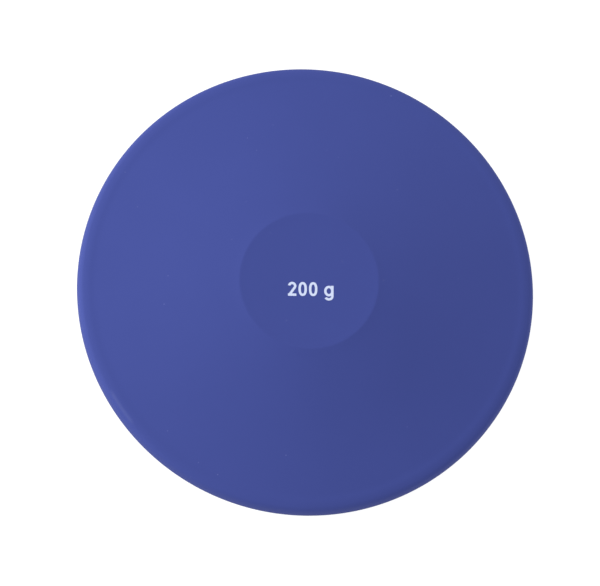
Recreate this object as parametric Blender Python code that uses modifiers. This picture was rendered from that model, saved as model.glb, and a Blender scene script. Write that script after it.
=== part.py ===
"""Soft training discus, an assembly of ten pieces.

Two soft half shells lap at the rim and close over a plate with a hub, a rim ring and two foam pads.
Metres, +Z up. The origin is the centre of the lower flat, and +Z is the axis of the discus.
In the sections below a point is (distance from the axis, height above the mid-plane).
"""

import math
from typing import NamedTuple

import bpy

MM = 0.001

# Outer form
DISCUS_DIAMETER = 180 * MM
DISCUS_THICKNESS = 37 * MM
FLAT_DIAMETER = 55 * MM
RIM_THICKNESS = 12 * MM
PAD_RISE = 0.25 * MM
VALLEY_RADIUS = 6 * MM

# Half shells
SKIN = 1.8 * MM
LAP_HEIGHT = 2 * MM

# Clearance wherever two pieces seat against each other
FIT = 0.3 * MM

# Plate
PLATE_THICKNESS = 1.2 * MM
BOSS_SHELF = 3 * MM
WINDOW_COUNT = 8
WINDOW_DIAMETER = 26 * MM
WINDOW_CIRCLE_DIAMETER = 100 * MM

# Rim ring
GROOVE_DEPTH = 3 * MM

# Weight at the centre
WEIGHT_DIAMETER = 24 * MM
WEIGHT_HEIGHT = 6 * MM

# Hub
SPIGOT_DIAMETER = 12 * MM
SPIGOT_REACH = 9 * MM
CLAMP_LAND = 1.7 * MM
FLANGE_THICKNESS = 1.6 * MM
FLANGE_MARGIN = 2 * MM
FILLING_BORE_DIAMETER = 8 * MM

# Filler plug
PLUG_HEAD_DIAMETER = 12 * MM
PLUG_RECESS = 0.3 * MM
PLUG_SHANK_LENGTH = 7 * MM
PLUG_TAPER = 0.6 * MM

# Facets
SHELL_STEPS = 72
CORE_STEPS = 48
WINDOW_STEPS = 24
ARC_STEPS = 6
FILLET_STEPS = 2
SMOOTH_BELOW = math.radians(25)
AXIS_MERGE = 0.01 * MM


class Finish(NamedTuple):
    """Colour and surface of one material."""

    colour: tuple
    roughness: float
    metallic: float = 0.0


# Materials
BLUE_PVC = Finish((0.062, 0.083, 0.314), 0.6)
PLUG_PVC = Finish((0.052, 0.070, 0.275), 0.55)
CREAM_FOAM = Finish((0.72, 0.66, 0.50), 0.95)
BLACK_PLASTIC = Finish((0.020, 0.020, 0.022), 0.5)
WHITE_PLASTIC = Finish((0.68, 0.68, 0.65), 0.45)
ZINC_STEEL = Finish((0.55, 0.56, 0.57), 0.35, 1.0)

# Outer form, worked out
HALF_THICKNESS = DISCUS_THICKNESS / 2
FLAT_RADIUS = FLAT_DIAMETER / 2
RIM_RADIUS = RIM_THICKNESS / 2
RIM_CENTRE = DISCUS_DIAMETER / 2 - RIM_RADIUS
CONE_TOP = HALF_THICKNESS - PAD_RISE
CONE_SLOPE = (CONE_TOP - RIM_RADIUS) / (RIM_CENTRE - FLAT_RADIUS)
CONE_TILT = math.atan(CONE_SLOPE)

# Shells, worked out
INNER_OFFSET = SKIN + FIT
CORE_TOP = HALF_THICKNESS - INNER_OFFSET
LAP_WALL = (SKIN - FIT) / 2
LIP_INSIDE = RIM_RADIUS - LAP_WALL
TONGUE_OUTSIDE = LIP_INSIDE - FIT
SKIN_INSIDE = RIM_RADIUS - SKIN
SEAM_EDGE = FIT / 2

# Core, worked out
RING_RADIUS = RIM_RADIUS - INNER_OFFSET
HALF_PLATE = PLATE_THICKNESS / 2
GROOVE_EDGE = HALF_PLATE + FIT
GROOVE_BOTTOM = RIM_CENTRE - RING_RADIUS + GROOVE_DEPTH
PLATE_RADIUS = GROOVE_BOTTOM - FIT
BOSS_TOP = WEIGHT_HEIGHT / 2
BOSS_INSIDE = WEIGHT_DIAMETER / 2 + FIT
HUB_RADIUS = BOSS_INSIDE + CLAMP_LAND
BOSS_RADIUS = HUB_RADIUS + BOSS_SHELF
CLAMP_FACE = BOSS_TOP + FIT
SPIGOT_RADIUS = SPIGOT_DIAMETER / 2
SPIGOT_TOP = CLAMP_FACE + SPIGOT_REACH
SOCKET_RADIUS = SPIGOT_RADIUS + FIT
FLANGE_FOOT = CORE_TOP - FLANGE_THICKNESS
BORE_RADIUS = FILLING_BORE_DIAMETER / 2
PLUG_HOLE_RADIUS = PLUG_HEAD_DIAMETER / 2 + FIT


def arc(radius, start, end, steps, centre=(RIM_CENTRE, 0.0)):
    """Points along an arc about a centre, by default the centre of the rim bead."""
    turns = [start + (end - start) * step / steps for step in range(steps + 1)]
    return [
        (centre[0] + radius * math.cos(turn), centre[1] + radius * math.sin(turn))
        for turn in turns
    ]


def meeting_angle(offset, radius):
    """Where the cone face, moved in by offset, meets a circle about the bead's centre on its inner side."""
    reach = (RIM_RADIUS * math.cos(CONE_TILT) - offset) / radius
    return math.pi - math.asin(reach) - CONE_TILT


def flat_edge(offset):
    """Radius at which the flat and the cone face meet once both are moved in by offset."""
    drop = PAD_RISE + offset / math.cos(CONE_TILT) - offset
    return FLAT_RADIUS - drop / CONE_SLOPE


def flipped(section):
    """The same section below the mid-plane, still running down its outer side."""
    return [(radius, -height) for radius, height in reversed(section)]


def outer_face():
    """Down the cone from the pad's edge to the valley's end, with the angle at which the bead begins."""
    reach = RIM_RADIUS + VALLEY_RADIUS
    turn = meeting_angle(-VALLEY_RADIUS, reach)
    valley_centre = (RIM_CENTRE + reach * math.cos(turn), reach * math.sin(turn))
    cone_end = -math.pi / 2 - CONE_TILT
    bead_start = turn - math.pi
    valley = arc(VALLEY_RADIUS, cone_end, bead_start, FILLET_STEPS, valley_centre)
    pad = [(FLAT_RADIUS - PAD_RISE, HALF_THICKNESS), (FLAT_RADIUS, CONE_TOP)]
    return pad + valley, turn


def inner_face(start):
    """From an angle on the bead's inner wall, up the inside of the cone to the inside of the flat."""
    turn = meeting_angle(SKIN, SKIN_INSIDE)
    bead = arc(SKIN_INSIDE, start, turn, ARC_STEPS)
    return bead + [(flat_edge(SKIN), HALF_THICKNESS - SKIN)]


def upper_shell_section():
    """Ends at the rim in an outer lip, whose inside is rebated for the tongue."""
    face, turn = outer_face()
    rebate_top = math.asin((LAP_HEIGHT + FIT) / LIP_INSIDE)
    bead = arc(RIM_RADIUS, turn, math.asin(SEAM_EDGE / RIM_RADIUS), ARC_STEPS)
    lip = arc(LIP_INSIDE, math.asin(SEAM_EDGE / LIP_INSIDE), rebate_top, FILLET_STEPS)
    axis_top = [(0.0, HALF_THICKNESS)]
    axis_foot = [(0.0, HALF_THICKNESS - SKIN)]
    return axis_top + face + bead[1:] + lip + inner_face(rebate_top) + axis_foot


def lower_shell_section():
    """Ends at the rim in a tongue, and is open at the centre for the plug."""
    face, turn = outer_face()
    tongue_end = -math.asin(LAP_HEIGHT / TONGUE_OUTSIDE)
    tongue_root = math.asin(SEAM_EDGE / TONGUE_OUTSIDE)
    bead = arc(RIM_RADIUS, turn, math.asin(SEAM_EDGE / RIM_RADIUS), ARC_STEPS)
    tongue = arc(TONGUE_OUTSIDE, tongue_root, tongue_end, FILLET_STEPS)
    hole_top = [(PLUG_HOLE_RADIUS, HALF_THICKNESS)]
    hole_foot = [(PLUG_HOLE_RADIUS, HALF_THICKNESS - SKIN)]
    return flipped(hole_top + face + bead[1:] + tongue + inner_face(tongue_end) + hole_foot)


def filler_plug_section():
    """Head in the shell's hole, against the hub flange, and a tapered shank in the hub's bore."""
    head_face = HALF_THICKNESS - PLUG_RECESS
    head_foot = CORE_TOP + FIT
    shank_end = head_foot - PLUG_SHANK_LENGTH
    head_radius = PLUG_HEAD_DIAMETER / 2
    shank_radius = BORE_RADIUS - FIT
    return flipped(
        [
            (0.0, head_face),
            (head_radius, head_face),
            (head_radius, head_foot),
            (shank_radius, head_foot),
            (shank_radius, shank_end + PLUG_TAPER),
            (shank_radius - PLUG_TAPER, shank_end),
            (0.0, shank_end),
        ]
    )


def foam_section():
    """Fills the space under the shell, from the hub out to the rim ring."""
    hollow = RING_RADIUS + FIT
    flange_edge = flat_edge(SKIN) - FLANGE_MARGIN + FIT
    ring_side = arc(
        hollow,
        meeting_angle(INNER_OFFSET, hollow),
        math.pi - math.asin(GROOVE_EDGE / hollow),
        ARC_STEPS,
    )
    return [
        (HUB_RADIUS + FIT, FLANGE_FOOT - FIT),
        (flange_edge, FLANGE_FOOT - FIT),
        (flange_edge, CORE_TOP),
        (flat_edge(INNER_OFFSET), CORE_TOP),
        *ring_side,
        (BOSS_RADIUS + FIT, GROOVE_EDGE),
        (BOSS_RADIUS + FIT, CLAMP_FACE),
        (HUB_RADIUS + FIT, CLAMP_FACE),
    ]


def core_disc_section():
    """Thin web with a boss at the centre, as high as the weight that it holds."""
    upper = [
        (BOSS_INSIDE, BOSS_TOP),
        (BOSS_RADIUS, BOSS_TOP),
        (BOSS_RADIUS, HALF_PLATE),
        (PLATE_RADIUS, HALF_PLATE),
    ]
    return upper + flipped(upper)


def rim_ring_section():
    """Round bar with a groove on its inner side for the edge of the plate."""
    mouth = math.pi - math.asin(GROOVE_EDGE / RING_RADIUS)
    bar = arc(RING_RADIUS, mouth, -mouth, 2 * ARC_STEPS)
    return bar + [(GROOVE_BOTTOM, -GROOVE_EDGE), (GROOVE_BOTTOM, GROOVE_EDGE)]


def centre_weight_section():
    """Plain ring on the spigot."""
    upper = [(SOCKET_RADIUS, BOSS_TOP), (WEIGHT_DIAMETER / 2, BOSS_TOP)]
    return upper + flipped(upper)


def hub_post_section():
    """Flange, shoulder and spigot, with the filling bore right through."""
    flange_radius = flat_edge(SKIN) - FLANGE_MARGIN
    return [
        (BORE_RADIUS, SPIGOT_TOP),
        (SPIGOT_RADIUS, SPIGOT_TOP),
        (SPIGOT_RADIUS, -CLAMP_FACE),
        (HUB_RADIUS, -CLAMP_FACE),
        (HUB_RADIUS, -FLANGE_FOOT),
        (flange_radius, -FLANGE_FOOT),
        (flange_radius, -CORE_TOP),
        (BORE_RADIUS, -CORE_TOP),
    ]


def hub_cap_section():
    """Flange and clamping sleeve, with a blind socket for the spigot."""
    flange_radius = flat_edge(SKIN) - FLANGE_MARGIN
    socket_end = SPIGOT_TOP + FIT
    return [
        (0.0, CORE_TOP),
        (flange_radius, CORE_TOP),
        (flange_radius, FLANGE_FOOT),
        (HUB_RADIUS, FLANGE_FOOT),
        (HUB_RADIUS, CLAMP_FACE),
        (SOCKET_RADIUS, CLAMP_FACE),
        (SOCKET_RADIUS, socket_end),
        (0.0, socket_end),
    ]


def material(name, finish):
    """Principled material of one piece."""
    made = bpy.data.materials.new(name)
    made.use_nodes = True
    made.diffuse_color = (*finish.colour, 1.0)
    shader = made.node_tree.nodes["Principled BSDF"]
    shader.inputs["Base Color"].default_value = (*finish.colour, 1.0)
    shader.inputs["Roughness"].default_value = finish.roughness
    shader.inputs["Metallic"].default_value = finish.metallic
    return made


def make_solid(piece):
    """Keeps the turned surface as the piece's own mesh, smooth between its sharp edges."""
    graph = bpy.context.evaluated_depsgraph_get()
    solid = bpy.data.meshes.new_from_object(piece.evaluated_get(graph))
    outline = piece.data
    piece.modifiers.clear()
    piece.data = solid
    bpy.data.meshes.remove(outline)
    solid.name = piece.name
    solid.shade_smooth()
    solid.set_sharp_from_angle(angle=SMOOTH_BELOW)


def turned(name, section, steps, finish, collection):
    """One piece turned from its section, placed on the mid-plane of the discus."""
    mesh = bpy.data.meshes.new(name)
    points = [(radius, 0.0, height) for radius, height in section]
    edges = [(point, point + 1) for point in range(len(section) - 1)]
    if section[0][0] > 0.0:
        edges.append((len(section) - 1, 0))
    mesh.from_pydata(points, edges, [])
    piece = bpy.data.objects.new(name, mesh)
    collection.objects.link(piece)
    piece.location.z = HALF_THICKNESS
    screw = piece.modifiers.new("Turn", "SCREW")
    screw.steps = steps
    screw.render_steps = steps
    screw.use_merge_vertices = True
    screw.merge_threshold = AXIS_MERGE
    make_solid(piece)
    piece.data.materials.append(material(name + "_finish", finish))
    return piece


def window_cutter(index, collection):
    """One round cutter of the ring, longer than the web is thick."""
    turn = 2 * math.pi * index / WINDOW_COUNT
    reach = WINDOW_CIRCLE_DIAMETER / 2
    bpy.ops.mesh.primitive_cylinder_add(
        vertices=WINDOW_STEPS,
        radius=WINDOW_DIAMETER / 2,
        depth=4 * PLATE_THICKNESS,
        location=(reach * math.cos(turn), reach * math.sin(turn), HALF_THICKNESS),
    )
    cutter = bpy.context.object
    cutter.name = f"window_cutter_{index + 1}"
    cutter.hide_render = True
    cutter.display_type = "WIRE"
    for holder in list(cutter.users_collection):
        holder.objects.unlink(cutter)
    collection.objects.link(cutter)


def new_collection(name):
    made = bpy.data.collections.new(name)
    bpy.context.scene.collection.children.link(made)
    return made


for leftover in list(bpy.data.objects):
    bpy.data.objects.remove(leftover, do_unlink=True)

discus = new_collection("discus")
turned("upper_shell", upper_shell_section(), SHELL_STEPS, BLUE_PVC, discus)
turned("lower_shell", lower_shell_section(), SHELL_STEPS, BLUE_PVC, discus)
turned("filler_plug", filler_plug_section(), CORE_STEPS, PLUG_PVC, discus)
turned("upper_foam", foam_section(), CORE_STEPS, CREAM_FOAM, discus)
turned("lower_foam", flipped(foam_section()), CORE_STEPS, CREAM_FOAM, discus)
turned("rim_ring", rim_ring_section(), SHELL_STEPS, BLACK_PLASTIC, discus)
turned("hub_post", hub_post_section(), CORE_STEPS, WHITE_PLASTIC, discus)
turned("hub_cap", hub_cap_section(), CORE_STEPS, WHITE_PLASTIC, discus)
turned("centre_weight", centre_weight_section(), CORE_STEPS, ZINC_STEEL, discus)
core_disc = turned("core_disc", core_disc_section(), CORE_STEPS, BLACK_PLASTIC, discus)

# Windows of the plate
cutters = new_collection("window_cutters")
for number in range(WINDOW_COUNT):
    window_cutter(number, cutters)
windows = core_disc.modifiers.new("Windows", "BOOLEAN")
windows.operation = "DIFFERENCE"
windows.operand_type = "COLLECTION"
windows.collection = cutters
windows.solver = "EXACT"
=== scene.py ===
"""Looks of a soft training discus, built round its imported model.

The pieces follow in the order in which they are put together, from the plate outwards.
Metres, +Z up. An outline's point is (distance from the axis, height above the mid-plane).
"""

import math

import bmesh
import bpy
from mathutils import Matrix, Vector


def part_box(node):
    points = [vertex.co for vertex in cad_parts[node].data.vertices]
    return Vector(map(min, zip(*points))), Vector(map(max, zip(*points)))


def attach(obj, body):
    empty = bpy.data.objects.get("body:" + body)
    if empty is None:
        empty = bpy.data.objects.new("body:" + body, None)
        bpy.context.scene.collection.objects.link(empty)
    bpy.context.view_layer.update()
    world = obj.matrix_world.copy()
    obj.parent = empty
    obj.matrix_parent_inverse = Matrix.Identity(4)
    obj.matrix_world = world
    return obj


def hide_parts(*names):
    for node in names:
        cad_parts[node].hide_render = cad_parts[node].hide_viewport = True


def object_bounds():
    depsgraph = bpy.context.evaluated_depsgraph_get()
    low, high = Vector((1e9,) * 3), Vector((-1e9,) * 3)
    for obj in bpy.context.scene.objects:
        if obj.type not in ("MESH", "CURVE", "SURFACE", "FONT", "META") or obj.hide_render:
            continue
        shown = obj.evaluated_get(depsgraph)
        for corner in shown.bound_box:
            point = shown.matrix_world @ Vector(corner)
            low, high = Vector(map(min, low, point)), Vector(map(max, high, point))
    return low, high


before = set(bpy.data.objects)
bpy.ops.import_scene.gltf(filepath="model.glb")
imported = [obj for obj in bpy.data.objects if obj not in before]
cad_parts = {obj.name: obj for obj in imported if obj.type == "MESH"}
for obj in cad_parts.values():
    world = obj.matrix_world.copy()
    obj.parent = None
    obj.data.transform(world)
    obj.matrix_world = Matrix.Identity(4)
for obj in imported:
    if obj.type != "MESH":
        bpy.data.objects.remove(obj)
cad_low, cad_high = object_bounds()

# Plate. A thin disc of black polypropylene with eight round windows and a raised boss at the centre,
# injection moulded in one piece. It stiffens the soft body, and the other pieces hang on it.
MM = 0.001
MID_PLANE = cad_high.z / 2
FIT = 0.3 * MM
PLATE_THICKNESS = 1.2 * MM
CLAMP_LAND = 1.7 * MM
BOSS_SHELF = 3 * MM
WINDOW_COUNT = 8
WINDOW_RADIUS = 13 * MM
WINDOW_CIRCLE = 50 * MM
WINDOW_SIDES = 64
DRILL_DEPTH = 4 * PLATE_THICKNESS
CORE_SIDES = 160
SOFT_EDGE = 0.25 * MM
EDGE_STEPS = 4
EDGE_ABOVE = math.radians(20)
EDGE_SHARE = 0.3
EDGE_GUARD = 1.5
PATH_RADIUS = 100 * MM
MERGE = 0.002 * MM
BLACK = (0.018, 0.018, 0.020)
BLACK_WORN = (0.034, 0.034, 0.037)
BLACK_ROUGHNESS = 0.5
SPARK_GRAIN = 0.7 * MM
SPARK_DEPTH = 0.03 * MM
SPARK_ROUGHNESS = 0.05
RUBBED_PATCH = 14 * MM
RUBBED_RANGE = (0.45, 0.75)
RUBBED_POLISH = 0.08


class Wire:
    """One output of a node. Arithmetic on wires and numbers adds the Math nodes that work it out."""

    def __init__(self, socket):
        self.socket = socket

    @classmethod
    def node(cls, tree, kind, settings=None, sockets=None, output=0):
        """Adds a node, sets it up, feeds its sockets by name or number, and gives one output."""
        node = tree.nodes.new(kind)
        for name, value in (settings or {}).items():
            setattr(node, name, value)
        for name, value in (sockets or {}).items():
            cls.feed(node, name, value)
        if isinstance(output, str):
            output = [socket.name for socket in node.outputs if socket.enabled].index(output)
        return cls([socket for socket in node.outputs if socket.enabled][output])

    @classmethod
    def feed(cls, node, name, value):
        """Links a wire to a node's socket, or sets the socket to a plain value."""
        shown = [socket for socket in node.inputs if socket.enabled]
        socket = shown[name] if isinstance(name, int) else next(s for s in shown if s.name == name)
        if isinstance(value, cls):
            node.id_data.links.new(value.socket, socket)
        else:
            socket.default_value = value

    @property
    def tree(self):
        """The node tree that the wire is in."""
        return self.socket.node.id_data

    @staticmethod
    def math(operation, *terms):
        """A Math node on wires and numbers, of which at least one is a wire."""
        tree = next(term for term in terms if isinstance(term, Wire)).tree
        return Wire.node(tree, "ShaderNodeMath", {"operation": operation}, dict(enumerate(terms)))

    def __add__(self, other):
        return Wire.math("ADD", self, other)

    def __sub__(self, other):
        return Wire.math("SUBTRACT", self, other)

    def __rsub__(self, other):
        return Wire.math("SUBTRACT", other, self)

    def __mul__(self, other):
        return Wire.math("MULTIPLY", self, other)

    __radd__ = __add__
    __rmul__ = __mul__

    def eased(self, low, high):
        """0 up to low, 1 from high on, and a smooth rise between them."""
        settings = {"interpolation_type": "SMOOTHSTEP"}
        sockets = {"Value": self, "From Min": low, "From Max": high}
        return Wire.node(self.tree, "ShaderNodeMapRange", settings, sockets)

    def mixed(self, first, second):
        """From the first colour to the second as this wire goes from 0 to 1."""
        ends = [end if isinstance(end, Wire) else (*end, 1.0) for end in (first, second)]
        sockets = {"Factor": self, "A": ends[0], "B": ends[1]}
        return Wire.node(self.tree, "ShaderNodeMix", {"data_type": "RGBA"}, sockets)

    def parts(self):
        """The X, Y and Z of a place, each as a wire."""
        split = Wire.node(self.tree, "ShaderNodeSeparateXYZ", {}, {"Vector": self})
        return [Wire(output) for output in split.socket.node.outputs]


def new_finish(name, **constants):
    """A new material, its node tree, its shader with its constants set, and the place on the piece."""
    made = bpy.data.materials.new(name)
    made.use_nodes = True
    tree = made.node_tree
    shader = tree.nodes["Principled BSDF"]
    for socket, value in constants.items():
        shader.inputs[socket.replace("_", " ")].default_value = value
    return made, tree, shader, Wire.node(tree, "ShaderNodeTexCoord", output="Object")


def cloud(tree, place, size, detail=2.0):
    """Soft noise whose patches are about as wide as size."""
    sockets = {"Vector": place, "Scale": 1 / size, "Detail": detail}
    return Wire.node(tree, "ShaderNodeTexNoise", {}, sockets)


def roughened(tree, shader, height, depth):
    """Bump of the given depth on the whole surface."""
    bump = Wire.node(tree, "ShaderNodeBump", {}, {"Height": height, "Distance": depth, "Strength": 1.0})
    Wire.feed(shader, "Normal", bump)


def moulded_plastic(name, colour, worn, roughness, grain):
    """Stiff moulded plastic: a fine spark-eroded grain, with rubbed patches of another colour."""
    made, tree, shader, place = new_finish(name, IOR=1.49)
    rubbed = cloud(tree, place, RUBBED_PATCH, detail=4.0).eased(*RUBBED_RANGE)
    fine = cloud(tree, place, grain, detail=3.0)
    Wire.feed(shader, "Base Color", rubbed.mixed(colour, worn))
    Wire.feed(shader, "Roughness", roughness - RUBBED_POLISH * rubbed + SPARK_ROUGHNESS * fine)
    roughened(tree, shader, fine, SPARK_DEPTH)
    return made


def new_tree(name, **inputs):
    """An empty Geometry Nodes tree with named inputs, and a wire from each of them."""
    tree = bpy.data.node_groups.new(name, "GeometryNodeTree")
    kinds = {"Geometry": "NodeSocketGeometry", "Finish": "NodeSocketMaterial", **inputs}
    for label, kind in kinds.items():
        tree.interface.new_socket(label.replace("_", " "), in_out="INPUT", socket_type=kind)
    tree.interface.new_socket("Piece", in_out="OUTPUT", socket_type="NodeSocketGeometry")
    source = tree.nodes.new("NodeGroupInput")
    return tree, [Wire(socket) for socket in source.outputs[: len(kinds)]]


def end_tree(tree, geometry, finish):
    """Realizes what the tree made and gives it its material."""
    whole = Wire.node(tree, "GeometryNodeRealizeInstances", {}, {"Geometry": geometry})
    dressed = Wire.node(tree, "GeometryNodeSetMaterial", {}, {"Geometry": whole, "Material": finish})
    tree.links.new(dressed.socket, tree.nodes.new("NodeGroupOutput").inputs[0])
    return tree


def turning_tree():
    """Sweeps an outline, drawn flat as radius and height, round the axis and closes its poles."""
    number = "NodeSocketFloat"
    tree, (drawn, finish, sides, path, height, merge) = new_tree(
        "turned_piece",
        Sides="NodeSocketInt",
        Path_Radius=number,
        Mid_plane=number,
        Merge_Distance=number,
    )
    outline = Wire.node(tree, "GeometryNodeMeshToCurve", {}, {"Mesh": drawn})
    inward = Wire.node(tree, "ShaderNodeCombineXYZ", {}, {"X": 0.0 - path})
    outline = Wire.node(
        tree,
        "GeometryNodeTransform",
        {},
        {"Geometry": outline, "Translation": inward, "Scale": (1.0, -1.0, 1.0)},
    )
    round_path = Wire.node(
        tree, "GeometryNodeCurvePrimitiveCircle", {}, {"Resolution": sides, "Radius": path}
    )
    skin = Wire.node(
        tree, "GeometryNodeCurveToMesh", {}, {"Curve": round_path, "Profile Curve": outline}
    )
    raised = Wire.node(tree, "ShaderNodeCombineXYZ", {}, {"Z": height})
    skin = Wire.node(tree, "GeometryNodeTransform", {}, {"Geometry": skin, "Translation": raised})
    skin = Wire.node(tree, "GeometryNodeMergeByDistance", {}, {"Geometry": skin, "Distance": merge})
    skin = Wire.node(tree, "GeometryNodeSetShadeSmooth", {}, {"Geometry": skin, "Shade Smooth": True})
    return end_tree(tree, skin, finish)


def made_by(tree, piece, **values):
    """Runs a tree on a piece and keeps what it gives as the piece's own plain mesh.

    Points that fall together are welded, faces without area go, and every face points outwards.
    """
    modifier = piece.modifiers.new("Making", "NODES")
    modifier.node_group = tree
    for item in tree.interface.items_tree:
        label = item.name.replace(" ", "_")
        if item.in_out == "INPUT" and label in values:
            modifier[item.identifier] = values[label]
    graph = bpy.context.evaluated_depsgraph_get()
    solid = bpy.data.meshes.new_from_object(piece.evaluated_get(graph))
    piece.modifiers.clear()
    piece.data = solid
    solid.name = piece.name
    skin = bmesh.new()
    skin.from_mesh(solid)
    bmesh.ops.remove_doubles(skin, verts=skin.verts, dist=MERGE)
    bmesh.ops.dissolve_degenerate(skin, edges=skin.edges, dist=MERGE)
    many_sided = [face for face in skin.faces if len(face.verts) > 4]
    bmesh.ops.triangulate(skin, faces=many_sided, ngon_method="BEAUTY")
    bmesh.ops.recalc_face_normals(skin, faces=skin.faces)
    skin.to_mesh(solid)
    skin.free()
    return piece


def softened(outline, radius=SOFT_EDGE):
    """The outline with its sharp corners rounded, and a point beside each that keeps the flats flat."""
    corners = [Vector(point) for point in outline]
    closed = corners[0].x > 0
    soft = []
    for index, corner in enumerate(corners):
        ends = index in (0, len(corners) - 1)
        before = corners[index - 1] - corner
        after = corners[(index + 1) % len(corners)] - corner
        turn = math.pi - before.angle(after) if closed or not ends else 0.0
        if turn < EDGE_ABOVE:
            soft.append(tuple(corner))
            continue
        cut = min(radius * math.tan(turn / 2), EDGE_SHARE * before.length, EDGE_SHARE * after.length)
        start = corner + before.normalized() * cut
        finish = corner + after.normalized() * cut
        soft.append(tuple(corner + before.normalized() * cut * EDGE_GUARD))
        for step in range(EDGE_STEPS + 1):
            share = step / EDGE_STEPS
            soft.append(tuple(start.lerp(corner, share).lerp(corner.lerp(finish, share), share)))
        soft.append(tuple(corner + after.normalized() * cut * EDGE_GUARD))
    return soft


def flipped(outline):
    """The same outline below the mid-plane, still running the same way round."""
    return [(radius, -height) for radius, height in reversed(outline)]


def turned(name, outline, finish, sides=CORE_SIDES):
    """A piece turned from its outline, at its place on the discus."""
    mesh = bpy.data.meshes.new(name)
    edges = [(point, point + 1) for point in range(len(outline) - 1)]
    if outline[0][0] > 0:
        edges.append((len(outline) - 1, 0))
    mesh.from_pydata([(radius, height, 0.0) for radius, height in outline], edges, [])
    piece = bpy.data.objects.new(name, mesh)
    bpy.context.scene.collection.objects.link(piece)
    return made_by(
        TURNING,
        piece,
        Finish=finish,
        Sides=sides,
        Path_Radius=PATH_RADIUS,
        Mid_plane=MID_PLANE,
        Merge_Distance=MERGE,
    )


def fitted(piece, node):
    """The piece rides on the discus and stands for its CAD node, which is hidden."""
    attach(piece, "root")
    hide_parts(node)


def extent(node):
    """Radius of a CAD node, and its lowest and highest height above the mid-plane."""
    low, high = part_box(node)
    return high.x, low.z - MID_PLANE, high.z - MID_PLANE


def window_tree():
    """Cuts a ring of round windows through a plate."""
    number = "NodeSocketFloat"
    tree, (plate, finish, count, width, circle, depth, height, sides) = new_tree(
        "windows_in_plate",
        Count="NodeSocketInt",
        Window_Radius=number,
        Circle_Radius=number,
        Depth=number,
        Mid_plane=number,
        Window_Sides="NodeSocketInt",
    )
    ring = Wire.node(
        tree, "GeometryNodeCurvePrimitiveCircle", {}, {"Resolution": count, "Radius": circle}
    )
    drill = Wire.node(
        tree,
        "GeometryNodeMeshCylinder",
        {},
        {"Vertices": sides, "Radius": width, "Depth": depth},
        "Mesh",
    )
    drills = Wire.node(tree, "GeometryNodeInstanceOnPoints", {}, {"Points": ring, "Instance": drill})
    raised = Wire.node(tree, "ShaderNodeCombineXYZ", {}, {"Z": height})
    drills = Wire.node(
        tree, "GeometryNodeTransform", {}, {"Geometry": drills, "Translation": raised}
    )
    drills = Wire.node(tree, "GeometryNodeRealizeInstances", {}, {"Geometry": drills})
    cut = Wire.node(
        tree,
        "GeometryNodeMeshBoolean",
        {"operation": "DIFFERENCE", "solver": "EXACT"},
        {"Mesh 1": plate, "Mesh 2": drills},
        "Mesh",
    )
    return end_tree(tree, cut, finish)


TURNING = turning_tree()
black_plastic = moulded_plastic("black_moulding", BLACK, BLACK_WORN, BLACK_ROUGHNESS, SPARK_GRAIN)
plate_radius, _, boss_top = extent("core_disc")
weight_radius, _, weight_top = extent("centre_weight")
boss_inside = weight_radius + FIT
boss_outside = boss_inside + CLAMP_LAND + BOSS_SHELF
half_plate = PLATE_THICKNESS / 2
plate_half = [
    (boss_inside, boss_top),
    (boss_outside, boss_top),
    (boss_outside, half_plate),
    (plate_radius, half_plate),
]
core_disc = turned("core_disc_plate", softened(plate_half + flipped(plate_half)), black_plastic)
made_by(
    window_tree(),
    core_disc,
    Finish=black_plastic,
    Count=WINDOW_COUNT,
    Window_Radius=WINDOW_RADIUS,
    Circle_Radius=WINDOW_CIRCLE,
    Depth=DRILL_DEPTH,
    Mid_plane=MID_PLANE,
    Window_Sides=WINDOW_SIDES,
)
core_disc.data.set_sharp_from_angle(angle=EDGE_ABOVE)
fitted(core_disc, "core_disc")

# Rim ring. A round bar of black polyethylene, bent into a hoop and welded at its ends, with a groove
# turned on its inner side. It snaps over the edge of the plate, keeps the rim round and carries weight
# where a throw needs it.
RIM_SIDES = 288
GROOVE_DEPTH = 3 * MM
RIM_RADIUS = 6 * MM
BAR_STEPS = 48
BAR_LINE = 0.35 * MM
BAR_LINE_DEPTH = 0.02 * MM
BAR_LINE_RANGE = (0.3, 0.8)


def arc(centre, radius, start, end, steps):
    """Points along an arc, with angles from the outward direction."""
    turns = [start + (end - start) * step / steps for step in range(steps + 1)]
    return [(centre[0] + radius * math.cos(t), centre[1] + radius * math.sin(t)) for t in turns]


def from_axis(place):
    """How far a place is from the axis of the discus."""
    x, y, _ = place.parts()
    return Wire.math("SQRT", x * x + y * y)


def drawn_plastic(name, colour, worn):
    """Extruded plastic bar: faint lines along its length, which runs round the rim."""
    made, tree, shader, place = new_finish(name, Roughness=0.42, IOR=1.51)
    height = place.parts()[2]
    section = Wire.node(tree, "ShaderNodeCombineXYZ", {}, {"X": from_axis(place), "Y": height})
    lines = cloud(tree, section, BAR_LINE, detail=3.0)
    Wire.feed(shader, "Base Color", lines.eased(*BAR_LINE_RANGE).mixed(colour, worn))
    roughened(tree, shader, lines, BAR_LINE_DEPTH)
    return made


rim_centre = cad_high.x - RIM_RADIUS
bar_radius = extent("rim_ring")[0] - rim_centre
groove_half = half_plate + FIT
mouth = math.pi - math.asin(groove_half / bar_radius)
groove_bottom = rim_centre - bar_radius + GROOVE_DEPTH
bar = arc((rim_centre, 0.0), bar_radius, mouth, -mouth, BAR_STEPS)
groove = [(groove_bottom, -groove_half), (groove_bottom, groove_half)]
black_bar = drawn_plastic("black_bar", BLACK, BLACK_WORN)
rim_ring = turned("rim_ring_bar", softened(bar + groove), black_bar, RIM_SIDES)
fitted(rim_ring, "rim_ring")

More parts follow.
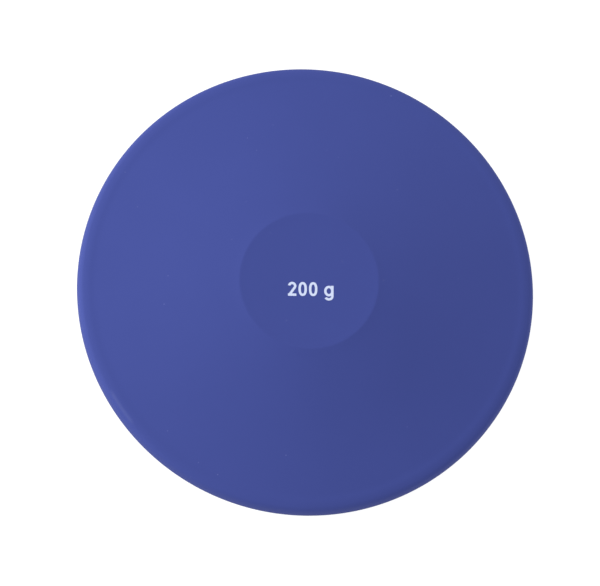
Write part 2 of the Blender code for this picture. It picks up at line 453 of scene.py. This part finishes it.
# Weight. A ring of mild steel, turned to length and zinc plated, which trims the discus to its marked
# weight. It sits loose in the plate's boss until the two halves of the hub clamp over it.
SOCKET_RADIUS = 6.3 * MM
WEIGHT_EDGE = 0.4 * MM
STEEL = (0.55, 0.56, 0.57)
STEEL_DULL = (0.36, 0.37, 0.39)
STEEL_ROUGHNESS = 0.28
SPANGLE = 2.5 * MM
SPANGLE_ROUGHNESS = 0.1
TOOL_MARK = 0.12 * MM
TOOL_MARK_DEPTH = 0.01 * MM
TOOL_MARK_ROUGHNESS = 0.06


def plated_steel(name, bright, dull):
    """Zinc-plated turned steel: tool marks round the axis under a mottled, slightly dulled plating."""
    made, tree, shader, place = new_finish(name, Metallic=1.0)
    outwards = Wire.node(tree, "ShaderNodeCombineXYZ", {}, {"X": from_axis(place)})
    marks = cloud(tree, outwards, TOOL_MARK, detail=1.0)
    spangle = Wire.node(
        tree, "ShaderNodeTexVoronoi", {}, {"Vector": place, "Scale": 1 / SPANGLE}, "Color"
    )
    mottle = Wire.node(tree, "ShaderNodeSeparateColor", {}, {"Color": spangle}, "Red")
    roughness = STEEL_ROUGHNESS + SPANGLE_ROUGHNESS * mottle + TOOL_MARK_ROUGHNESS * marks
    Wire.feed(shader, "Base Color", mottle.eased(0.0, 1.0).mixed(bright, dull))
    Wire.feed(shader, "Roughness", roughness)
    roughened(tree, shader, marks, TOOL_MARK_DEPTH)
    return made


weight_half = [(SOCKET_RADIUS, weight_top), (weight_radius, weight_top)]
centre_weight = turned(
    "centre_weight_ring",
    softened(weight_half + flipped(weight_half), WEIGHT_EDGE),
    plated_steel("zinc_plated_steel", STEEL, STEEL_DULL),
)
fitted(centre_weight, "centre_weight")

# Hub. Two mouldings of white plastic that meet through the plate: a post with a flange, shoulder and
# spigot from below, and a cap with a socket from above. The cap is pressed and cemented on the spigot,
# with the weight between them.
FLANGE_THICKNESS = 1.6 * MM
SPIGOT_RADIUS = 6 * MM
BORE_RADIUS = 4 * MM
WHITE = (0.68, 0.68, 0.65)
WHITE_SOILED = (0.60, 0.59, 0.55)
WHITE_ROUGHNESS = 0.42
WHITE_GRAIN = 0.5 * MM

white_plastic = moulded_plastic("white_moulding", WHITE, WHITE_SOILED, WHITE_ROUGHNESS, WHITE_GRAIN)
flange_radius, _, core_top = extent("hub_cap")
_, _, spigot_top = extent("hub_post")
hub_radius = boss_inside + CLAMP_LAND
clamp_face = boss_top + FIT
flange_foot = core_top - FLANGE_THICKNESS
post = [
    (BORE_RADIUS, spigot_top),
    (SPIGOT_RADIUS, spigot_top),
    (SPIGOT_RADIUS, -clamp_face),
    (hub_radius, -clamp_face),
    (hub_radius, -flange_foot),
    (flange_radius, -flange_foot),
    (flange_radius, -core_top),
    (BORE_RADIUS, -core_top),
]
cap = [
    (0.0, core_top),
    (flange_radius, core_top),
    (flange_radius, flange_foot),
    (hub_radius, flange_foot),
    (hub_radius, clamp_face),
    (SOCKET_RADIUS, clamp_face),
    (SOCKET_RADIUS, spigot_top + FIT),
    (0.0, spigot_top + FIT),
]
fitted(turned("hub_post_moulding", softened(post), white_plastic), "hub_post")
fitted(turned("hub_cap_moulding", softened(cap), white_plastic), "hub_cap")

# Foam pads. Two rings of cream closed-cell foam, cut from sheet and dished in a hot press to fill the
# space between plate and skin, one on each side. They are glued to the plate, and let the skin give
# under the fingers.
SKIN = 1.8 * MM
FLAT_RADIUS = 27.4 * MM
SHOULDER_INSET = 5.0 * MM
SHOULDER_HEIGHT = 5.85 * MM
SHOULDER_TILT = math.radians(7)
VALLEY_RADIUS = 30 * MM
FOAM_EDGE = 0.5 * MM
FOAM_STEPS = 12
CREAM = (0.74, 0.68, 0.52)
CREAM_CELL = (0.58, 0.51, 0.36)
FOAM_ROUGHNESS = 0.82
FOAM_PATCH = 20 * MM
CELL = 1.1 * MM
CELL_DEPTH = 0.3 * MM
CELL_RANGE = (0.1, 0.55)
CELL_SHADE = 0.8
CELL_ROUGHNESS = 0.15

half_thickness = cad_high.z / 2
inner_offset = half_thickness - core_top
shoulder = (cad_high.x - SHOULDER_INSET, SHOULDER_HEIGHT)
valley_out = shoulder[0] + VALLEY_RADIUS * math.sin(SHOULDER_TILT) - FLAT_RADIUS
valley_up = shoulder[1] + VALLEY_RADIUS * math.cos(SHOULDER_TILT) - half_thickness
valley_far = math.hypot(valley_out, valley_up)
cone_tilt = math.asin(VALLEY_RADIUS / valley_far) - math.atan2(valley_up, valley_out)
cone_reach = half_thickness * math.cos(cone_tilt) - (rim_centre - FLAT_RADIUS) * math.sin(cone_tilt)


def meeting_angle(offset, radius):
    """Where the cone face, moved in by offset, meets a circle about the bead's centre."""
    return math.pi - math.asin((cone_reach - offset) / radius) - cone_tilt


def flat_edge(offset):
    """Radius at which the flat and the cone face meet once both are moved in by offset."""
    return FLAT_RADIUS - offset * math.tan(cone_tilt / 2)


def cell_foam(name, colour, dark):
    """Closed-cell foam: small round cells, darker in their hollows, on a dry matt ground."""
    made, tree, shader, place = new_finish(name, IOR=1.4)
    cells = Wire.node(tree, "ShaderNodeTexVoronoi", {}, {"Vector": place, "Scale": 1 / CELL})
    hollow = 1.0 - cells.eased(*CELL_RANGE)
    patches = cloud(tree, place, FOAM_PATCH)
    Wire.feed(shader, "Base Color", (CELL_SHADE * hollow * patches).mixed(colour, dark))
    Wire.feed(shader, "Roughness", FOAM_ROUGHNESS + CELL_ROUGHNESS * hollow)
    roughened(tree, shader, cells, CELL_DEPTH)
    return made


cream_foam = cell_foam("cream_foam", CREAM, CREAM_CELL)
ring_hollow = bar_radius + FIT
pad_inside = hub_radius + FIT
boss_clear = boss_outside + FIT
flange_clear = flange_radius + FIT
foam = [
    (pad_inside, flange_foot - FIT),
    (flange_clear, flange_foot - FIT),
    (flange_clear, core_top),
    (flat_edge(inner_offset), core_top),
    *arc(
        (rim_centre, 0.0),
        ring_hollow,
        meeting_angle(inner_offset, ring_hollow),
        math.pi - math.asin(groove_half / ring_hollow),
        FOAM_STEPS,
    ),
    (boss_clear, groove_half),
    (boss_clear, clamp_face),
    (pad_inside, clamp_face),
]
pad = softened(foam, FOAM_EDGE)
fitted(turned("upper_foam_pad", pad, cream_foam), "upper_foam")
fitted(turned("lower_foam_pad", flipped(pad), cream_foam), "lower_foam")

# Lower shell. Half of the outer skin, moulded in soft matt blue PVC: a flat, a cone that is full by a
# hair near the flat and hollow by as much near the rim, and a rounded bead. Its tongue laps inside the
# other half, and the joint is welded all round.
VALLEY_STEPS = 8
SHOULDER_ROUND = 13 * MM
CORNER_TILT = math.radians(20)
NOSE_TILT = math.radians(70)
BEAD_STEPS = 14
CONE_STEPS = 24
CONE_WAVE = 0.12 * MM
LIP_STEPS = 6
LAP_HEIGHT = 2 * MM
SEAM_GAP = 0.05 * MM
SEAM_ROUND = 0.2 * MM
FLAT_SINK = 0.07 * MM
EDGE_ROUND = 3 * MM
COLLAR_TILT = math.radians(1.5)
COLLAR_ROUND = 80 * MM
CREST_WIDTH = 0.4 * MM
CREST_SLOPE = 1.6 * MM
FLAT_MARGIN = 0.4 * MM
PLUG_HOLE_RADIUS = 6.3 * MM
BLUE = (0.0306, 0.0434, 0.1785)
BLUE_DEEP = (0.0298, 0.0424, 0.1745)
# Pale colour of the dust specks and of a rub, and of a painted highlight on the front of the rim.
DUST_AND_HIGHLIGHT = (0.22, 0.25, 0.45)
SKIN_ROUGHNESS = 0.63
SHEEN = 0.10
CLOUD_PATCH = 22 * MM
CLOUD_RANGE = (0.2, 0.8)
CLOUD_ROUGHNESS = 0.03
EGGSHELL = 0.45 * MM
EGGSHELL_DEPTH = 0.012 * MM
EGGSHELL_ROUGHNESS = 0.04
SPECK_SPACING = 8 * MM
SPECK_RANGE = (0.012, 0.03)
SPECK_STRENGTH = 0.4
# Pale streaks on the rim: the front one, on the upper bead, is a painted highlight; the back one, below
# the seam, is a rub.
STREAK_WIDTH = 1.1 * MM
STREAK_LENGTH = 9 * MM
STREAK_FADE = 0.6
STREAK_RADIUS = 87.8 * MM
FRONT_HIGHLIGHT_TURN = math.radians(-146)
FRONT_HIGHLIGHT_STRENGTH = 0.06
BACK_RUB_TURN = math.radians(70)
BACK_RUB_STRENGTH = 0.03


def streak_mask(place, turn, point):
    """1 along a short pale streak on the rim, about a turn round the axis and a point of the outline.
    """
    x, y, z = place.parts()
    out = from_axis(place) - point[0]
    up = z - MID_PLANE - point[1]
    off = Wire.math("SQRT", out * out + up * up)
    along = Wire.math("ABSOLUTE", Wire.math("ARCTAN2", y, x) - turn) * point[0]
    edge = 1.0 - off.eased(0.0, STREAK_WIDTH)
    return edge * (1.0 - along.eased(STREAK_FADE * STREAK_LENGTH, STREAK_LENGTH))


def soft_pvc(name, colour, deep, roughness, streaks=()):
    """Matt soft PVC: a faintly clouded colour, an eggshell grain, pale specks, and the given pale
    streaks on the rim.
    """
    made, tree, shader, place = new_finish(name, IOR=1.45, Specular_IOR_Level=SHEEN)
    cloudy = cloud(tree, place, CLOUD_PATCH, detail=4.0)
    fine = cloud(tree, place, EGGSHELL)
    speck = Wire.node(tree, "ShaderNodeTexVoronoi", {}, {"Vector": place, "Scale": 1 / SPECK_SPACING})
    pale = SPECK_STRENGTH * (1.0 - speck.eased(*SPECK_RANGE))
    # Each streak lightens the skin towards the pale colour; on the blue skin the front streak is a
    # painted highlight.
    for turn, point, strength in streaks:
        pale = pale + strength * streak_mask(place, turn, point)
    plain = cloudy.eased(*CLOUD_RANGE).mixed(colour, deep)
    Wire.feed(shader, "Base Color", pale.mixed(plain, DUST_AND_HIGHLIGHT))
    Wire.feed(shader, "Roughness", roughness + CLOUD_ROUGHNESS * cloudy + EGGSHELL_ROUGHNESS * fine)
    roughened(tree, shader, fine, EGGSHELL_DEPTH)
    return made


def rolled(start, radius, tilt, end_tilt, steps):
    """Outwards along an arc that turns from one tilt to another. A radius below zero gives a hollow."""
    path = []
    for step in range(steps + 1):
        now = tilt + (end_tilt - tilt) * step / steps
        out = radius * (math.sin(now) - math.sin(tilt))
        fall = radius * (math.cos(tilt) - math.cos(now))
        path.append((start[0] + out, start[1] - fall))
    return path


def closing_radii(out, fall, tilts):
    """Radii of two arcs between three tilts that together reach so far out and so far down."""
    sines = [math.sin(tilt) for tilt in tilts]
    cosines = [math.cos(tilt) for tilt in tilts]
    reach = Matrix((
        (sines[1] - sines[0], sines[2] - sines[1]),
        (cosines[0] - cosines[1], cosines[1] - cosines[2]),
    ))
    return reach.inverted() @ Vector((out, fall))


def outer_face():
    """From the flat's edge down the cone and the valley, over the shoulder and round to the seam."""
    ends_tilt = cone_tilt - math.atan(2 * math.pi * CONE_WAVE / (shoulder[0] - FLAT_RADIUS))
    valley = rolled(shoulder, -VALLEY_RADIUS, SHOULDER_TILT, ends_tilt, VALLEY_STEPS)[:0:-1]
    over = rolled(shoulder, SHOULDER_ROUND, SHOULDER_TILT, CORNER_TILT, BEAD_STEPS)
    tilts = (CORNER_TILT, NOSE_TILT, math.pi / 2)
    corner_round, nose_round = closing_radii(cad_high.x - over[-1][0], over[-1][1], tilts)
    corner = rolled(over[-1], corner_round, CORNER_TILT, NOSE_TILT, BEAD_STEPS)
    nose = rolled(corner[-1], nose_round, NOSE_TILT, math.pi / 2, BEAD_STEPS)
    nose[-1] = (cad_high.x, SEAM_GAP)
    crest_end = FLAT_RADIUS - EDGE_ROUND * math.tan(cone_tilt / 2)
    crest_start = crest_end - CREST_WIDTH
    steep = cone_tilt + COLLAR_TILT
    roll = rolled((crest_end, half_thickness), EDGE_ROUND, 0.0, steep, EDGE_STEPS)
    edge = [
        (crest_start - CREST_SLOPE - FLAT_MARGIN, half_thickness - FLAT_SINK),
        (crest_start - CREST_SLOPE, half_thickness - FLAT_SINK),
        (crest_start, half_thickness),
        *roll,
        *rolled(roll[-1], -COLLAR_ROUND, steep, ends_tilt, EDGE_STEPS)[1:],
    ]
    start, end = Vector(edge[-1]), Vector(valley[0])
    cone = []
    for step in range(1, CONE_STEPS):
        share = step / CONE_STEPS
        fullness = CONE_WAVE * math.sin(2 * math.pi * share)
        cone.append(tuple(start.lerp(end, share) + Vector((0.0, fullness))))
    return edge + cone + valley + over + corner[1:] + nose[1:]


def inner_face(start):
    """From an angle on the bead's inner wall, up the inside of the cone to the inside of the flat."""
    inside = RIM_RADIUS - SKIN
    bead = arc((rim_centre, 0.0), inside, start, meeting_angle(SKIN, inside), BEAD_STEPS)
    return bead + [(flat_edge(SKIN), half_thickness - SKIN)]


lip_wall = (SKIN - FIT) / 2
lip_inside = RIM_RADIUS - lip_wall
tongue_outside = lip_inside - FIT
face = outer_face()
tongue_end = -math.asin(LAP_HEIGHT / tongue_outside)
tongue = arc(
    (rim_centre, 0.0),
    tongue_outside,
    math.asin(SEAM_GAP / tongue_outside),
    tongue_end,
    LIP_STEPS,
)
shoulder_points = [point for point in face if point[1] > SHOULDER_HEIGHT / 2]
streak_radius, streak_height = min(shoulder_points, key=lambda point: abs(point[0] - STREAK_RADIUS))
# The front streak is a painted highlight on the upper bead, the back one a rub below the seam.
streaks = [
    (FRONT_HIGHLIGHT_TURN, (streak_radius, streak_height), FRONT_HIGHLIGHT_STRENGTH),
    (BACK_RUB_TURN, (streak_radius, -streak_height), BACK_RUB_STRENGTH),
]
blue_pvc = soft_pvc("blue_skin", BLUE, BLUE_DEEP, SKIN_ROUGHNESS, streaks)
lower_outline = [
    (PLUG_HOLE_RADIUS, half_thickness - FLAT_SINK),
    *face,
    *tongue,
    *inner_face(tongue_end),
    (PLUG_HOLE_RADIUS, half_thickness - SKIN),
]
lower_shell = turned(
    "lower_shell_skin", flipped(softened(lower_outline, SEAM_ROUND)), blue_pvc, RIM_SIDES
)
fitted(lower_shell, "lower_shell")

# Filler plug. A push-in plug of a slightly darker PVC with a tapered shank. It closes the hole through
# which the weight is trimmed, and is bonded in, with its head a hair below the flat.
PLUG_TAPER = 0.6 * MM
HEAD_CROWN = 0.1 * MM
HEAD_FLAT = 0.7
GATE_RADIUS = 1.2 * MM
GATE_DEPTH = 0.25 * MM
PLUG_BLUE = (0.020, 0.030, 0.165)
PLUG_DEEP = (0.017, 0.026, 0.150)
PLUG_ROUGHNESS = 0.5

head_radius, head_face, shank_end = extent("filler_plug")
head_face, shank_end = -head_face, -shank_end
head_foot = core_top + FIT
shank_radius = BORE_RADIUS - FIT
plug_outline = [
    (0.0, head_face - GATE_DEPTH),
    (GATE_RADIUS, head_face - GATE_DEPTH),
    (GATE_RADIUS, head_face),
    (head_radius * HEAD_FLAT, head_face),
    (head_radius, head_face - HEAD_CROWN),
    (head_radius, head_foot),
    (shank_radius, head_foot),
    (shank_radius, shank_end + PLUG_TAPER),
    (shank_radius - PLUG_TAPER, shank_end),
    (0.0, shank_end),
]
plug_pvc = soft_pvc("blue_plug", PLUG_BLUE, PLUG_DEEP, PLUG_ROUGHNESS)
filler_plug = turned("filler_plug_moulding", flipped(softened(plug_outline)), plug_pvc)
fitted(filler_plug, "filler_plug")

# Upper shell. The other half of the skin, the same but closed at the centre. Its lip comes down over
# the tongue to the mid-plane, so that only a hairline shows round the rim.
rebate_top = math.asin((LAP_HEIGHT + FIT) / lip_inside)
lip = arc(
    (rim_centre, 0.0),
    lip_inside,
    math.asin(SEAM_GAP / lip_inside),
    rebate_top,
    LIP_STEPS,
)
upper_outline = [
    (0.0, half_thickness - FLAT_SINK),
    *face,
    *lip,
    *inner_face(rebate_top),
    (0.0, half_thickness - SKIN),
]
upper_shell = turned("upper_shell_skin", softened(upper_outline, SEAM_ROUND), blue_pvc, RIM_SIDES)
fitted(upper_shell, "upper_shell")

# Weight mark. The weight in grams, screen printed in one coat of white ink on the upper flat.
# The figures are plain upright strokes of one width.
FIGURE_HEIGHT = 5.65 * MM
FIGURE_WIDTH = 3.32 * MM
STROKE = 0.96 * MM
FIGURE_STEPS = 32
FIGURE_PITCH = 4.13 * MM
TWO_START = math.radians(172)
TWO_END = math.radians(-32)
TWO_FOOT = 0.1 * MM
NOUGHT_FULLNESS = 0.85
UNIT_GAP = 2.65 * MM
UNIT_WIDTH = 3.7 * MM
UNIT_HEIGHT = 4.3 * MM
UNIT_TAIL = 1.65 * MM
TAIL_END = math.radians(-155)
MARK_LEFT = -8.35 * MM
MARK_BASE = -6.2 * MM
INK = (0.380, 0.425, 0.560)
INK_THIN = (0.305, 0.355, 0.515)
INK_THICKNESS = 0.04 * MM
INK_ROUGHNESS = 0.5
SCREEN_MESH = 0.3 * MM
SCREEN_DEPTH = 0.005 * MM
SCREEN_RANGE = (0.55, 0.75)
SCREEN_ROUGHNESS = 0.1


def oval(centre, width, height, start=0.0, end=2 * math.pi, fullness=1.0):
    """Points along the centre line of an oval stroke, which is squarer at a fullness below 1."""
    points = []
    for step in range(FIGURE_STEPS + 1):
        turn = start + (end - start) * step / FIGURE_STEPS
        across = math.copysign(abs(math.cos(turn)) ** fullness, math.cos(turn))
        up = math.copysign(abs(math.sin(turn)) ** fullness, math.sin(turn))
        points.append((centre[0] + width / 2 * across, centre[1] + height / 2 * up))
    return points


def stroke_tree():
    """Lays a flat bar of ink along each stroke's centre line and joins the bars into one film."""
    number = "NodeSocketFloat"
    tree, (lines, finish, width, thickness) = new_tree(
        "printed_strokes", Stroke_Width=number, Film_Thickness=number
    )
    path = Wire.node(tree, "GeometryNodeMeshToCurve", {}, {"Mesh": lines})
    path = Wire.node(tree, "GeometryNodeSetCurveNormal", {"mode": "Z_UP"}, {"Curve": path})
    nib = Wire.node(
        tree, "GeometryNodeCurvePrimitiveQuadrilateral", {}, {"Width": width, "Height": thickness}
    )
    bars = Wire.node(
        tree,
        "GeometryNodeCurveToMesh",
        {},
        {"Curve": path, "Profile Curve": nib, "Fill Caps": True},
    )
    film = Wire.node(
        tree,
        "GeometryNodeMeshBoolean",
        {"operation": "UNION", "solver": "EXACT"},
        {"Mesh": bars, "Self Intersection": True},
        "Mesh",
    )
    return end_tree(tree, film, finish)


def ink_film(name, colour, thin):
    """Screen ink: dense and matt, thinner in pinholes where the mesh of the screen shows."""
    made, tree, shader, place = new_finish(name, IOR=1.5)
    mesh_print = cloud(tree, place, SCREEN_MESH).eased(*SCREEN_RANGE)
    Wire.feed(shader, "Base Color", mesh_print.mixed(colour, thin))
    Wire.feed(shader, "Roughness", INK_ROUGHNESS + SCREEN_ROUGHNESS * mesh_print)
    roughened(tree, shader, mesh_print, SCREEN_DEPTH)
    return made


bowl = (FIGURE_WIDTH - STROKE, FIGURE_HEIGHT - STROKE)
middle = FIGURE_WIDTH / 2
low_line = STROKE / 2
two_top = (middle, FIGURE_HEIGHT - STROKE / 2 - bowl[0] / 2)
two = oval(two_top, bowl[0], bowl[0], TWO_START, TWO_END)
nought = oval((middle, FIGURE_HEIGHT / 2), *bowl, fullness=NOUGHT_FULLNESS)[:-1]
unit_bowl = (UNIT_WIDTH - STROKE, UNIT_HEIGHT - STROKE)
unit_middle = (UNIT_WIDTH / 2, UNIT_HEIGHT / 2)
stem = UNIT_WIDTH - STROKE / 2
tail_size = (unit_bowl[0], 2 * (UNIT_TAIL - STROKE / 2))
tail = oval((unit_middle[0], 0.0), *tail_size, 0.0, TAIL_END)
unit_left = 2 * FIGURE_PITCH + FIGURE_WIDTH + UNIT_GAP
strokes = [
    (0.0, [*two, (STROKE / 2 + TWO_FOOT, low_line)], False),
    (0.0, [(0.0, low_line), (FIGURE_WIDTH, low_line)], False),
    (FIGURE_PITCH, nought, True),
    (2 * FIGURE_PITCH, nought, True),
    (unit_left, oval(unit_middle, *unit_bowl)[:-1], True),
    (unit_left, [(stem, UNIT_HEIGHT), *tail], False),
]
points, edges = [], []
for left, line, closed in strokes:
    first = len(points)
    points += [(MARK_LEFT + left + x, MARK_BASE + y, 0.0) for x, y in line]
    edges += [(first + step, first + step + 1) for step in range(len(line) - 1)]
    if closed:
        edges.append((len(points) - 1, first))
mark_mesh = bpy.data.meshes.new("weight_mark")
mark_mesh.from_pydata(points, edges, [])
weight_mark = bpy.data.objects.new("weight_mark", mark_mesh)
bpy.context.scene.collection.objects.link(weight_mark)
made_by(
    stroke_tree(),
    weight_mark,
    Finish=ink_film("white_ink", INK, INK_THIN),
    Stroke_Width=STROKE,
    Film_Thickness=INK_THICKNESS,
)
mark_height = cad_high.z - FLAT_SINK + INK_THICKNESS / 2
weight_mark.data.transform(Matrix.Translation((0.0, 0.0, mark_height)))
weight_mark.data.set_sharp_from_angle(angle=EDGE_ABOVE)
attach(weight_mark, "root")

# Table and light. A sheet of opal plastic, lit from below as well, so that it comes out white without a
# shadow, in a pale tent with three soft panels that face the discus: two on the left, one low at the
# upper right. Each panel has its direction from +X and its height in degrees, and its power in watts.
TABLE_SIZE = 12.0
OPAL = (0.20, 0.20, 0.20)
OPAL_CLOUDED = (0.17, 0.17, 0.17)
OPAL_CLOUD = 0.3
TABLE_GLOW = 0.88
TENT = 1.18
PANEL_SIZE = (0.9, 0.4)
PANEL_DISTANCE = 1.6
PANELS = {
    "panel_left": (184, 26, 19.0),
    "panel_upper_left": (147, 20, 16.0),
    "panel_upper_right": (50, 8, 7.0),
}


def table_finish():
    """Matt opal sheet with a faint cloud in it, which glows with the light below it."""
    made, tree, shader, place = new_finish("opal_sheet", Roughness=0.7, Emission_Strength=TABLE_GLOW)
    shader.inputs["Emission Color"].default_value = (1.0, 1.0, 1.0, 1.0)
    Wire.feed(shader, "Base Color", cloud(tree, place, OPAL_CLOUD).mixed(OPAL, OPAL_CLOUDED))
    return made


def soft_panel(name, azimuth, elevation, power):
    """A soft panel that faces the discus from an azimuth and an elevation."""
    lamp = bpy.data.lights.new(name, "AREA")
    lamp.shape = "RECTANGLE"
    lamp.size, lamp.size_y = PANEL_SIZE
    lamp.energy = power
    towards = Vector((math.cos(azimuth), math.sin(azimuth), math.tan(elevation)))
    panel = bpy.data.objects.new(name, lamp)
    panel.location = towards.normalized() * PANEL_DISTANCE
    panel.rotation_euler = towards.to_track_quat("Z", "Y").to_euler()
    panel.visible_camera = False
    bpy.context.scene.collection.objects.link(panel)


half_table = TABLE_SIZE / 2
table_mesh = bpy.data.meshes.new("table")
table_mesh.from_pydata(
    [
        (-half_table, -half_table, 0.0),
        (half_table, -half_table, 0.0),
        (half_table, half_table, 0.0),
        (-half_table, half_table, 0.0),
    ],
    [],
    [(0, 1, 2, 3)],
)
table = bpy.data.objects.new("table", table_mesh)
table.data.materials.append(table_finish())
bpy.context.scene.collection.objects.link(table)

world = bpy.data.worlds.new("tent")
world.use_nodes = True
background = world.node_tree.nodes["Background"]
background.inputs["Color"].default_value = (1.0, 1.0, 1.0, 1.0)
background.inputs["Strength"].default_value = TENT
bpy.context.scene.world = world
for name, (azimuth, elevation, power) in PANELS.items():
    soft_panel(name, math.radians(azimuth), math.radians(elevation), power)

# Camera. It looks down on the discus from a little to the front left, through a long lens, and is
# rolled so that the mark reads level. The discus stands a little to the right of the picture's middle.
FRAME_WIDTH_PIXELS = 600
PIXEL = 0.3934 * MM
CAMERA_AZIMUTH = math.radians(-19.0)
CAMERA_ELEVATION = math.radians(75.8)
CAMERA_ROLL = math.radians(1.0)
CAMERA_DISTANCE = 4.5
DISCUS_RIGHT_OF_MIDDLE = 5.3
DISCUS_ABOVE_MIDDLE = 1.4
SENSOR = 36.0
NEAREST = 0.1
FARTHEST = 20.0

back = Vector((
    math.sin(CAMERA_AZIMUTH) * math.cos(CAMERA_ELEVATION),
    -math.cos(CAMERA_AZIMUTH) * math.cos(CAMERA_ELEVATION),
    math.sin(CAMERA_ELEVATION),
))
across = (Vector((1.0, 0.0, 0.0)) - back * back.x).normalized()
across = Matrix.Rotation(CAMERA_ROLL, 3, back) @ across
upward = back.cross(across)
aim = Vector((0.0, 0.0, MID_PLANE))
aim -= (across * DISCUS_RIGHT_OF_MIDDLE + upward * DISCUS_ABOVE_MIDDLE) * PIXEL
lens = bpy.data.cameras.new("camera")
lens.sensor_width = SENSOR
lens.lens = SENSOR * CAMERA_DISTANCE / (FRAME_WIDTH_PIXELS * PIXEL)
lens.clip_start = NEAREST
lens.clip_end = FARTHEST
camera = bpy.data.objects.new("camera", lens)
facing = Matrix((across, upward, back)).transposed()
camera.matrix_world = Matrix.Translation(aim + back * CAMERA_DISTANCE) @ facing.to_4x4()
bpy.context.scene.collection.objects.link(camera)
bpy.context.scene.camera = camera
bpy.context.scene.view_settings.view_transform = "Standard"
